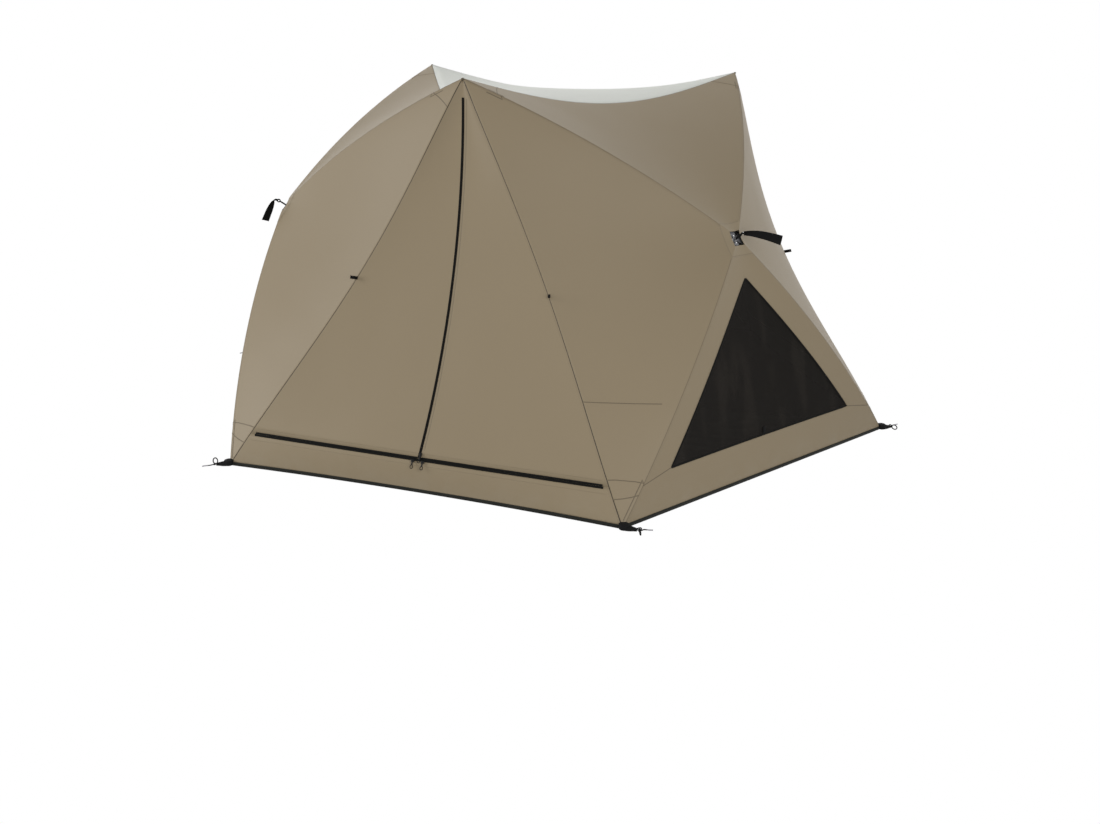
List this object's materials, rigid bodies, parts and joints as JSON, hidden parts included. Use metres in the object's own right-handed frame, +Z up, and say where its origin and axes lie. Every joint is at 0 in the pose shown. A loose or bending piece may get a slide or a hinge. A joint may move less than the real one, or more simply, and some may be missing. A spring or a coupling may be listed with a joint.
{
  "type": "instant tent",
  "caption": "Six-sided instant tent with pull-out hubs on its window sides, bowed poles under the cloth, mesh windows, zipped triangular doors and a pale roof sheet",
  "frame": {"origin": "on the ground below the middle of the tent, in the plane of the ground sheet's underside", "axes": "+Z up; -Y out of the front door; +X to the right as seen facing the front door; the other doors and the window sides follow at thirds of a turn about Z"},
  "size_m": [3.8376, 3.3508, 1.711],
  "materials": {
    "canopy_fabric": "matt coated polyester, khaki",
    "window_netting": "fine black netting",
    "roof_fabric": "pale grey coated polyester",
    "ground_fabric": "black coated ground sheet",
    "pole_fibreglass": "black glass-fibre rod",
    "hub_metal": "satin grey",
    "strap_webbing": "black woven webbing",
    "boot_plastic": "black",
    "zip_metal": "black painted"
  },
  "bodies": {
    "shell": {"ground_sheet": "ground_fabric", "roof_sheet": "roof_fabric", "door_surround_front": "canopy_fabric", "door_surround_back_right": "canopy_fabric", "door_surround_back_left": "canopy_fabric", "corner_boot_left_right": "boot_plastic", "corner_boot_right_right": "boot_plastic", "corner_boot_left_back": "boot_plastic", "corner_boot_right_back": "boot_plastic", "corner_boot_left_left": "boot_plastic", "corner_boot_right_left": "boot_plastic"},
    "hub_right": {"hub_right": "hub_metal"},
    "pole_upper_left_right": {"pole_upper_left_right": "pole_fibreglass"},
    "pole_upper_right_right": {"pole_upper_right_right": "pole_fibreglass"},
    "pole_lower_left_right": {"pole_lower_left_right": "pole_fibreglass"},
    "pole_lower_right_right": {"pole_lower_right_right": "pole_fibreglass"},
    "panel_bottom_right": {"panel_bottom_right": "canopy_fabric", "window_mesh_right": "window_netting"},
    "panel_right_right": {"panel_right_right": "canopy_fabric"},
    "panel_top_right": {"panel_top_right": "canopy_fabric"},
    "panel_left_right": {"panel_left_right": "canopy_fabric"},
    "pull_strap_right": {"pull_strap_right": "strap_webbing"},
    "hub_back": {"hub_back": "hub_metal"},
    "pole_upper_left_back": {"pole_upper_left_back": "pole_fibreglass"},
    "pole_upper_right_back": {"pole_upper_right_back": "pole_fibreglass"},
    "pole_lower_left_back": {"pole_lower_left_back": "pole_fibreglass"},
    "pole_lower_right_back": {"pole_lower_right_back": "pole_fibreglass"},
    "panel_bottom_back": {"panel_bottom_back": "canopy_fabric", "window_mesh_back": "window_netting"},
    "panel_right_back": {"panel_right_back": "canopy_fabric"},
    "panel_top_back": {"panel_top_back": "canopy_fabric"},
    "panel_left_back": {"panel_left_back": "canopy_fabric"},
    "pull_strap_back": {"pull_strap_back": "strap_webbing"},
    "hub_left": {"hub_left": "hub_metal"},
    "pole_upper_left_left": {"pole_upper_left_left": "pole_fibreglass"},
    "pole_upper_right_left": {"pole_upper_right_left": "pole_fibreglass"},
    "pole_lower_left_left": {"pole_lower_left_left": "pole_fibreglass"},
    "pole_lower_right_left": {"pole_lower_right_left": "pole_fibreglass"},
    "panel_bottom_left": {"panel_bottom_left": "canopy_fabric", "window_mesh_left": "window_netting"},
    "panel_right_left": {"panel_right_left": "canopy_fabric"},
    "panel_top_left": {"panel_top_left": "canopy_fabric"},
    "panel_left_left": {"panel_left_left": "canopy_fabric"},
    "pull_strap_left": {"pull_strap_left": "strap_webbing"},
    "door_leaf_right_front": {"door_leaf_right_front": "canopy_fabric"},
    "door_leaf_left_front": {"door_leaf_left_front": "canopy_fabric"},
    "door_slider_front": {"door_slider_front": "zip_metal"},
    "bottom_slider_right_front": {"bottom_slider_right_front": "zip_metal"},
    "bottom_slider_left_front": {"bottom_slider_left_front": "zip_metal"},
    "door_leaf_right_back_right": {"door_leaf_right_back_right": "canopy_fabric"},
    "door_leaf_left_back_right": {"door_leaf_left_back_right": "canopy_fabric"},
    "door_slider_back_right": {"door_slider_back_right": "zip_metal"},
    "bottom_slider_right_back_right": {"bottom_slider_right_back_right": "zip_metal"},
    "bottom_slider_left_back_right": {"bottom_slider_left_back_right": "zip_metal"},
    "door_leaf_right_back_left": {"door_leaf_right_back_left": "canopy_fabric"},
    "door_leaf_left_back_left": {"door_leaf_left_back_left": "canopy_fabric"},
    "door_slider_back_left": {"door_slider_back_left": "zip_metal"},
    "bottom_slider_right_back_left": {"bottom_slider_right_back_left": "zip_metal"},
    "bottom_slider_left_back_left": {"bottom_slider_left_back_left": "zip_metal"}
  },
  "joints": [
    {"name": "hub_pop_right", "type": "slide", "parent": "shell", "child": "hub_right", "axis": [0.7367, -0.4253, 0.5258], "range_m": [-0.66, 0]},
    {"name": "pole_pivot_upper_left_right", "type": "hinge", "parent": "hub_right", "child": "pole_upper_left_right", "pos_m": [1.1159, -0.66113, 1.02962], "axis": [-0.0716, -0.8221, -0.5648], "range_deg": [-28.2, 0]},
    {"name": "pole_pivot_upper_right_right", "type": "hinge", "parent": "hub_right", "child": "pole_upper_right_right", "pos_m": [1.1305, -0.63583, 1.02962], "axis": [-0.6762, -0.4731, 0.5648], "range_deg": [-28.2, 0]},
    {"name": "pole_pivot_lower_left_right", "type": "hinge", "parent": "hub_right", "child": "pole_lower_left_right", "pos_m": [1.13088, -0.66978, 1.00163], "axis": [0.6762, 0.473, -0.5648], "range_deg": [-28.2, 0]},
    {"name": "pole_pivot_lower_right_right", "type": "hinge", "parent": "hub_right", "child": "pole_lower_right_right", "pos_m": [1.14549, -0.64448, 1.00163], "axis": [0.0715, 0.8221, 0.5648], "range_deg": [-28.2, 0]},
    {"name": "panel_seam_bottom_right", "type": "hinge", "parent": "shell", "child": "panel_bottom_right", "pos_m": [0.91, -1.55, 0], "axis": [0.5, 0.866, 0], "range_deg": [-36.6, 0], "deforming": ["panel_bottom_right", "window_mesh_right"]},
    {"name": "panel_seam_right_right", "type": "hinge", "parent": "shell", "child": "panel_right_right", "pos_m": [1.79734, -0.01308, 0], "axis": [-0.4554, 0.2629, 0.8506], "range_deg": [-40.8, 0], "deforming": ["panel_right_right"]},
    {"name": "panel_seam_top_right", "type": "hinge", "parent": "shell", "child": "panel_top_right", "pos_m": [0.88724, 0.51225, 1.7], "axis": [-0.5, -0.866, 0], "range_deg": [-36.6, 0], "deforming": ["panel_top_right"]},
    {"name": "panel_seam_left_right", "type": "hinge", "parent": "shell", "child": "panel_left_right", "pos_m": [0, -1.0245, 1.7], "axis": [0.4553, -0.2629, -0.8506], "range_deg": [-40.8, 0], "deforming": ["panel_left_right"]},
    {"name": "strap_swing_right", "type": "hinge", "parent": "hub_right", "child": "pull_strap_right", "pos_m": [1.14321, -0.66004, 1.02456], "axis": [-0.5, -0.866, 0], "range_deg": [-40, 45]},
    {"name": "hub_pop_back", "type": "slide", "parent": "shell", "child": "hub_back", "axis": [0, 0.8506, 0.5258], "range_m": [-0.66, 0]},
    {"name": "pole_pivot_upper_left_back", "type": "hinge", "parent": "hub_back", "child": "pole_upper_left_back", "pos_m": [0.01461, 1.29696, 1.02962], "axis": [0.7478, 0.3491, -0.5648], "range_deg": [-28.2, 0]},
    {"name": "pole_pivot_upper_right_back", "type": "hinge", "parent": "hub_back", "child": "pole_upper_right_back", "pos_m": [-0.01461, 1.29696, 1.02962], "axis": [0.7478, -0.3491, 0.5648], "range_deg": [-28.2, 0]},
    {"name": "pole_pivot_lower_left_back", "type": "hinge", "parent": "hub_back", "child": "pole_lower_left_back", "pos_m": [0.01461, 1.31426, 1.00163], "axis": [-0.7477, 0.3491, -0.5648], "range_deg": [-28.2, 0]},
    {"name": "pole_pivot_lower_right_back", "type": "hinge", "parent": "hub_back", "child": "pole_lower_right_back", "pos_m": [-0.01461, 1.31426, 1.00163], "axis": [-0.7477, -0.3491, 0.5648], "range_deg": [-28.2, 0]},
    {"name": "panel_seam_bottom_back", "type": "hinge", "parent": "shell", "child": "panel_bottom_back", "pos_m": [0.88734, 1.56308, 0], "axis": [-1, 0, 0], "range_deg": [-36.6, 0], "deforming": ["panel_bottom_back", "window_mesh_back"]},
    {"name": "panel_seam_right_back", "type": "hinge", "parent": "shell", "child": "panel_right_back", "pos_m": [-0.88734, 1.56308, 0], "axis": [0, -0.5258, 0.8506], "range_deg": [-40.8, 0], "deforming": ["panel_right_back"]},
    {"name": "panel_seam_top_back", "type": "hinge", "parent": "shell", "child": "panel_top_back", "pos_m": [-0.88724, 0.51225, 1.7], "axis": [1, 0, 0], "range_deg": [-36.6, 0], "deforming": ["panel_top_back"]},
    {"name": "panel_seam_left_back", "type": "hinge", "parent": "shell", "child": "panel_left_back", "pos_m": [0.88724, 0.51225, 1.7], "axis": [0, 0.5258, -0.8506], "range_deg": [-40.8, 0], "deforming": ["panel_left_back"]},
    {"name": "strap_swing_back", "type": "hinge", "parent": "hub_back", "child": "pull_strap_back", "pos_m": [0, 1.32007, 1.02456], "axis": [1, 0, 0], "range_deg": [-25, 45]},
    {"name": "hub_pop_left", "type": "slide", "parent": "shell", "child": "hub_left", "axis": [-0.7367, -0.4253, 0.5258], "range_m": [-0.66, 0]},
    {"name": "pole_pivot_upper_left_left", "type": "hinge", "parent": "hub_left", "child": "pole_upper_left_left", "pos_m": [-1.1305, -0.63583, 1.02962], "axis": [-0.6762, 0.4731, -0.5648], "range_deg": [-28.2, 0]},
    {"name": "pole_pivot_upper_right_left", "type": "hinge", "parent": "hub_left", "child": "pole_upper_right_left", "pos_m": [-1.1159, -0.66113, 1.02962], "axis": [-0.0716, 0.8221, 0.5648], "range_deg": [-28.2, 0]},
    {"name": "pole_pivot_lower_left_left", "type": "hinge", "parent": "hub_left", "child": "pole_lower_left_left", "pos_m": [-1.14549, -0.64448, 1.00163], "axis": [0.0715, -0.8221, -0.5648], "range_deg": [-28.2, 0]},
    {"name": "pole_pivot_lower_right_left", "type": "hinge", "parent": "hub_left", "child": "pole_lower_right_left", "pos_m": [-1.13088, -0.66978, 1.00163], "axis": [0.6762, -0.473, 0.5648], "range_deg": [-28.2, 0]},
    {"name": "panel_seam_bottom_left", "type": "hinge", "parent": "shell", "child": "panel_bottom_left", "pos_m": [-1.79734, -0.01308, 0], "axis": [0.5, -0.866, 0], "range_deg": [-36.6, 0], "deforming": ["panel_bottom_left", "window_mesh_left"]},
    {"name": "panel_seam_right_left", "type": "hinge", "parent": "shell", "child": "panel_right_left", "pos_m": [-0.91, -1.55, 0], "axis": [0.4553, 0.2629, 0.8506], "range_deg": [-40.8, 0], "deforming": ["panel_right_left"]},
    {"name": "panel_seam_top_left", "type": "hinge", "parent": "shell", "child": "panel_top_left", "pos_m": [0, -1.0245, 1.7], "axis": [-0.5, 0.866, 0], "range_deg": [-36.6, 0], "deforming": ["panel_top_left"]},
    {"name": "panel_seam_left_left", "type": "hinge", "parent": "shell", "child": "panel_left_left", "pos_m": [-0.88724, 0.51225, 1.7], "axis": [-0.4554, -0.2629, -0.8506], "range_deg": [-40.8, 0], "deforming": ["panel_left_left"]},
    {"name": "strap_swing_left", "type": "hinge", "parent": "hub_left", "child": "pull_strap_left", "pos_m": [-1.14321, -0.66004, 1.02456], "axis": [-0.5, 0.866, 0], "range_deg": [-25, 45]},
    {"name": "leaf_fold_right_front", "type": "hinge", "parent": "shell", "child": "door_leaf_right_front", "pos_m": [0.745, -1.4942, 0.14106], "axis": [-0.4287, 0.2748, 0.8606], "range_deg": [0, 150]},
    {"name": "leaf_fold_left_front", "type": "hinge", "parent": "shell", "child": "door_leaf_left_front", "pos_m": [-0.745, -1.4942, 0.14106], "axis": [-0.4287, -0.2748, -0.8606], "range_deg": [0, 150]},
    {"name": "door_zip_front", "type": "hinge", "parent": "door_leaf_right_front", "child": "door_slider_front", "pos_m": [0, -3.51942, 1.6145], "axis": [1, 0, 0], "range_deg": [0, 34.5]},
    {"name": "bottom_zip_right_front", "type": "slide", "parent": "shell", "child": "bottom_slider_right_front", "axis": [1, 0.0079, -0.0024], "range_m": [0, 0.734]},
    {"name": "bottom_zip_left_front", "type": "slide", "parent": "shell", "child": "bottom_slider_left_front", "axis": [-1, 0.0079, -0.0024], "range_m": [0, 0.734]},
    {"name": "leaf_fold_right_back_right", "type": "hinge", "parent": "shell", "child": "door_leaf_right_back_right", "pos_m": [0.92151, 1.39229, 0.14106], "axis": [-0.0237, -0.5087, 0.8606], "range_deg": [0, 150]},
    {"name": "leaf_fold_left_back_right", "type": "hinge", "parent": "shell", "child": "door_leaf_left_back_right", "pos_m": [1.66651, 0.10191, 0.14106], "axis": [0.4524, -0.2339, -0.8606], "range_deg": [0, 150]},
    {"name": "door_zip_back_right", "type": "hinge", "parent": "door_leaf_right_back_right", "child": "door_slider_back_right", "pos_m": [3.04791, 1.75971, 1.6145], "axis": [-0.5, 0.866, 0], "range_deg": [0, 34.5]},
    {"name": "bottom_zip_right_back_right", "type": "slide", "parent": "shell", "child": "bottom_slider_right_back_right", "axis": [-0.5068, 0.862, -0.0024], "range_m": [0, 0.734]},
    {"name": "bottom_zip_left_back_right", "type": "slide", "parent": "shell", "child": "bottom_slider_left_back_right", "axis": [0.4931, -0.87, -0.0024], "range_m": [0, 0.734]},
    {"name": "leaf_fold_right_back_left", "type": "hinge", "parent": "shell", "child": "door_leaf_right_back_left", "pos_m": [-1.66651, 0.10191, 0.14106], "axis": [0.4524, 0.2339, 0.8606], "range_deg": [0, 150]},
    {"name": "leaf_fold_left_back_left", "type": "hinge", "parent": "shell", "child": "door_leaf_left_back_left", "pos_m": [-0.92151, 1.39229, 0.14106], "axis": [-0.0237, 0.5087, -0.8606], "range_deg": [0, 150]},
    {"name": "door_zip_back_left", "type": "hinge", "parent": "door_leaf_right_back_left", "child": "door_slider_back_left", "pos_m": [-3.04791, 1.75971, 1.6145], "axis": [-0.5, -0.866, 0], "range_deg": [0, 34.5]},
    {"name": "bottom_zip_right_back_left", "type": "slide", "parent": "shell", "child": "bottom_slider_right_back_left", "axis": [-0.4931, -0.87, -0.0024], "range_m": [0, 0.734]},
    {"name": "bottom_zip_left_back_left", "type": "slide", "parent": "shell", "child": "bottom_slider_left_back_left", "axis": [0.5068, 0.862, -0.0024], "range_m": [0, 0.734]}
  ],
  "couplings": [
    {"joint": "pole_pivot_upper_left_right", "follows": "hub_pop_right", "rad_per_m": 0.74535},
    {"joint": "pole_pivot_upper_right_right", "follows": "hub_pop_right", "rad_per_m": 0.74535},
    {"joint": "pole_pivot_lower_left_right", "follows": "hub_pop_right", "rad_per_m": 0.74535},
    {"joint": "pole_pivot_lower_right_right", "follows": "hub_pop_right", "rad_per_m": 0.74535},
    {"joint": "panel_seam_bottom_right", "follows": "hub_pop_right", "rad_per_m": 0.96641},
    {"joint": "panel_seam_right_right", "follows": "hub_pop_right", "rad_per_m": 1.0788},
    {"joint": "panel_seam_top_right", "follows": "hub_pop_right", "rad_per_m": 0.96641},
    {"joint": "panel_seam_left_right", "follows": "hub_pop_right", "rad_per_m": 1.0788},
    {"joint": "pole_pivot_upper_left_back", "follows": "hub_pop_back", "rad_per_m": 0.74535},
    {"joint": "pole_pivot_upper_right_back", "follows": "hub_pop_back", "rad_per_m": 0.74535},
    {"joint": "pole_pivot_lower_left_back", "follows": "hub_pop_back", "rad_per_m": 0.74535},
    {"joint": "pole_pivot_lower_right_back", "follows": "hub_pop_back", "rad_per_m": 0.74535},
    {"joint": "panel_seam_bottom_back", "follows": "hub_pop_back", "rad_per_m": 0.96641},
    {"joint": "panel_seam_right_back", "follows": "hub_pop_back", "rad_per_m": 1.0788},
    {"joint": "panel_seam_top_back", "follows": "hub_pop_back", "rad_per_m": 0.96641},
    {"joint": "panel_seam_left_back", "follows": "hub_pop_back", "rad_per_m": 1.0788},
    {"joint": "pole_pivot_upper_left_left", "follows": "hub_pop_left", "rad_per_m": 0.74535},
    {"joint": "pole_pivot_upper_right_left", "follows": "hub_pop_left", "rad_per_m": 0.74535},
    {"joint": "pole_pivot_lower_left_left", "follows": "hub_pop_left", "rad_per_m": 0.74535},
    {"joint": "pole_pivot_lower_right_left", "follows": "hub_pop_left", "rad_per_m": 0.74535},
    {"joint": "panel_seam_bottom_left", "follows": "hub_pop_left", "rad_per_m": 0.96641},
    {"joint": "panel_seam_right_left", "follows": "hub_pop_left", "rad_per_m": 1.0788},
    {"joint": "panel_seam_top_left", "follows": "hub_pop_left", "rad_per_m": 0.96641},
    {"joint": "panel_seam_left_left", "follows": "hub_pop_left", "rad_per_m": 1.0788}
  ]
}
